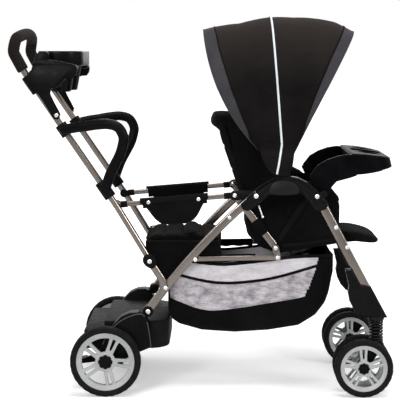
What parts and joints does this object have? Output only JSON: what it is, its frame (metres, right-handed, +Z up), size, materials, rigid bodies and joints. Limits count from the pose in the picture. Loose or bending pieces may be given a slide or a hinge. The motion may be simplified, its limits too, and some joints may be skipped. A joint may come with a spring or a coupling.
{
  "type": "sit and stand stroller",
  "caption": "Folding stroller with a canopied front seat and trays, a rear bench, a standing platform, grab bars and sprung twin casters.",
  "frame": {"origin": "on the floor, under the middle of the overall length and width", "axes": "+X forward, +Y to the stroller's left, +Z up"},
  "size_m": [1.063, 0.5256, 1.0474],
  "materials": {
    "champagne_metal": "satin champagne",
    "bright_metal": "plated",
    "black_plastic": "fine matt grain",
    "rim_plastic": "satin light grey",
    "tyre": "smooth",
    "foam": "soft foam",
    "black_fabric": "plain weave",
    "mesh_fabric": "light grey mesh"
  },
  "bodies": {
    "rear_frame": {"rear_leg_left": "champagne_metal", "rear_leg_right": "champagne_metal", "lower_tube_left": "champagne_metal", "lower_tube_right": "champagne_metal", "rear_housing_left": "black_plastic", "rear_housing_right": "black_plastic", "rear_axle": "bright_metal", "standing_platform": "black_plastic", "bench_frame": "black_plastic", "bench_pad": "black_fabric", "basket": "mesh_fabric"},
    "handle": {"handle_tube": "champagne_metal", "handle_grip": "foam", "grab_bar_left": "black_plastic", "grab_bar_right": "black_plastic", "parent_tray": "black_plastic"},
    "side_rails": {"side_rail_left": "champagne_metal", "side_rail_right": "champagne_metal", "side_panel_left": "black_fabric", "side_panel_right": "black_fabric"},
    "front_frame": {"hub_arch_left": "black_plastic", "hub_arch_right": "black_plastic", "front_leg_left": "champagne_metal", "front_leg_right": "champagne_metal", "fork_housing_left": "black_plastic", "fork_housing_right": "black_plastic", "front_cross_tube": "champagne_metal", "canopy_bow_rear": "black_plastic", "canopy_fabric": "black_fabric"},
    "canopy_middle": {"canopy_bow_middle": "black_plastic"},
    "canopy_front": {"canopy_bow_front": "black_plastic"},
    "tray": {"child_tray": "black_plastic"},
    "calf_support": {"calf_rest": "black_fabric"},
    "seat": {"seat_frame": "champagne_metal", "seat_tub": "black_fabric", "seat_pad": "black_fabric"},
    "seat_links": {"seat_link_left": "champagne_metal", "seat_link_right": "champagne_metal"},
    "back": {"backrest": "black_fabric"},
    "caster_left": {"caster_stem_left": "bright_metal", "front_spring_left": "bright_metal"},
    "carrier_left": {"caster_carrier_left": "black_plastic"},
    "front_wheel_left_outer": {"front_tyre_left_outer": "tyre", "front_rim_left_outer": "rim_plastic"},
    "front_wheel_left_inner": {"front_tyre_left_inner": "tyre", "front_rim_left_inner": "rim_plastic"},
    "rear_wheel_left": {"rear_tyre_left": "tyre", "rear_rim_left": "rim_plastic"},
    "brake_left": {"brake_pedal_left": "black_plastic"},
    "caster_right": {"caster_stem_right": "bright_metal", "front_spring_right": "bright_metal"},
    "carrier_right": {"caster_carrier_right": "black_plastic"},
    "front_wheel_right_outer": {"front_tyre_right_outer": "tyre", "front_rim_right_outer": "rim_plastic"},
    "front_wheel_right_inner": {"front_tyre_right_inner": "tyre", "front_rim_right_inner": "rim_plastic"},
    "rear_wheel_right": {"rear_tyre_right": "tyre", "rear_rim_right": "rim_plastic"},
    "brake_right": {"brake_pedal_right": "black_plastic"}
  },
  "joints": [
    {"name": "frame_fold", "type": "hinge", "parent": "rear_frame", "child": "front_frame", "pos_m": [0.14951, 0, 0.555], "axis": [0, 1, 0], "range_deg": [0, 54], "deforming": ["basket", "canopy_fabric"]},
    {"name": "handle_fold", "type": "hinge", "parent": "rear_frame", "child": "handle", "pos_m": [-0.14449, 0, 0.372], "axis": [0, 1, 0], "range_deg": [0, 9.7]},
    {"name": "side_rail_fold", "type": "hinge", "parent": "handle", "child": "side_rails", "pos_m": [-0.23749, 0, 0.525], "axis": [0, -1, 0], "range_deg": [0, 16]},
    {"name": "seat_fold", "type": "hinge", "parent": "rear_frame", "child": "seat", "pos_m": [-0.01849, 0, 0.374], "axis": [0, -1, 0], "range_deg": [0, 8.1]},
    {"name": "seat_link_fold", "type": "hinge", "parent": "seat", "child": "seat_links", "pos_m": [0.20551, 0, 0.405], "axis": [0, 1, 0], "range_deg": [0, 18.5]},
    {"name": "backrest_recline", "type": "hinge", "parent": "seat", "child": "back", "pos_m": [0.17551, 0, 0.434], "axis": [0, 1, 0], "range_deg": [-30, 0]},
    {"name": "calf_rest_lower", "type": "hinge", "parent": "front_frame", "child": "calf_support", "pos_m": [0.39751, 0, 0.414], "axis": [0, -1, 0], "range_deg": [-60, 0]},
    {"name": "child_tray_lift", "type": "hinge", "parent": "front_frame", "child": "tray", "pos_m": [0.33551, 0, 0.56], "axis": [0, 1, 0], "range_deg": [-40, 0]},
    {"name": "canopy_middle_fold", "type": "hinge", "parent": "front_frame", "child": "canopy_middle", "pos_m": [0.22551, 0, 0.624], "axis": [0, -1, 0], "range_deg": [0, 17], "deforming": ["canopy_fabric"]},
    {"name": "canopy_front_fold", "type": "hinge", "parent": "canopy_middle", "child": "canopy_front", "pos_m": [0.22551, 0, 0.624], "axis": [0, -1, 0], "range_deg": [0, 24], "deforming": ["canopy_fabric"]},
    {"name": "caster_left_swivel", "type": "hinge", "parent": "front_frame", "child": "caster_left", "pos_m": [0.48351, 0.214, 0.219], "axis": [0, 0, 1], "continuous": true},
    {"name": "suspension_left", "type": "slide", "parent": "caster_left", "child": "carrier_left", "axis": [0, 0, 1], "range_m": [0, 0.012], "stiffness_N_per_m": 4000, "springref_m": -0.015, "deforming": ["front_spring_left"]},
    {"name": "front_wheel_left_outer_spin", "type": "hinge", "parent": "carrier_left", "child": "front_wheel_left_outer", "pos_m": [0.44751, 0.249, 0.081], "axis": [0, 1, 0], "continuous": true},
    {"name": "front_wheel_left_inner_spin", "type": "hinge", "parent": "carrier_left", "child": "front_wheel_left_inner", "pos_m": [0.44751, 0.179, 0.081], "axis": [0, 1, 0], "continuous": true},
    {"name": "rear_wheel_left_spin", "type": "hinge", "parent": "rear_frame", "child": "rear_wheel_left", "pos_m": [-0.26549, 0.247, 0.098], "axis": [0, 1, 0], "continuous": true},
    {"name": "brake_left_release", "type": "hinge", "parent": "rear_frame", "child": "brake_left", "pos_m": [-0.26549, 0.166, 0.098], "axis": [0, 1, 0], "range_deg": [0, 20]},
    {"name": "caster_right_swivel", "type": "hinge", "parent": "front_frame", "child": "caster_right", "pos_m": [0.48351, -0.214, 0.219], "axis": [0, 0, 1], "continuous": true},
    {"name": "suspension_right", "type": "slide", "parent": "caster_right", "child": "carrier_right", "axis": [0, 0, 1], "range_m": [0, 0.012], "stiffness_N_per_m": 4000, "springref_m": -0.015, "deforming": ["front_spring_right"]},
    {"name": "front_wheel_right_outer_spin", "type": "hinge", "parent": "carrier_right", "child": "front_wheel_right_outer", "pos_m": [0.44751, -0.249, 0.081], "axis": [0, 1, 0], "continuous": true},
    {"name": "front_wheel_right_inner_spin", "type": "hinge", "parent": "carrier_right", "child": "front_wheel_right_inner", "pos_m": [0.44751, -0.179, 0.081], "axis": [0, 1, 0], "continuous": true},
    {"name": "rear_wheel_right_spin", "type": "hinge", "parent": "rear_frame", "child": "rear_wheel_right", "pos_m": [-0.26549, -0.247, 0.098], "axis": [0, 1, 0], "continuous": true},
    {"name": "brake_right_release", "type": "hinge", "parent": "rear_frame", "child": "brake_right", "pos_m": [-0.26549, -0.166, 0.098], "axis": [0, 1, 0], "range_deg": [0, 20]}
  ],
  "couplings": [
    {"joint": "handle_fold", "follows": "frame_fold", "ratio": 0.1743},
    {"joint": "side_rail_fold", "follows": "frame_fold", "ratio": 0.2878},
    {"joint": "seat_fold", "follows": "frame_fold", "ratio": 0.1454},
    {"joint": "seat_link_fold", "follows": "frame_fold", "ratio": 0.3342},
    {"joint": "canopy_middle_fold", "follows": "canopy_front_fold", "ratio": 0.7}
  ]
}
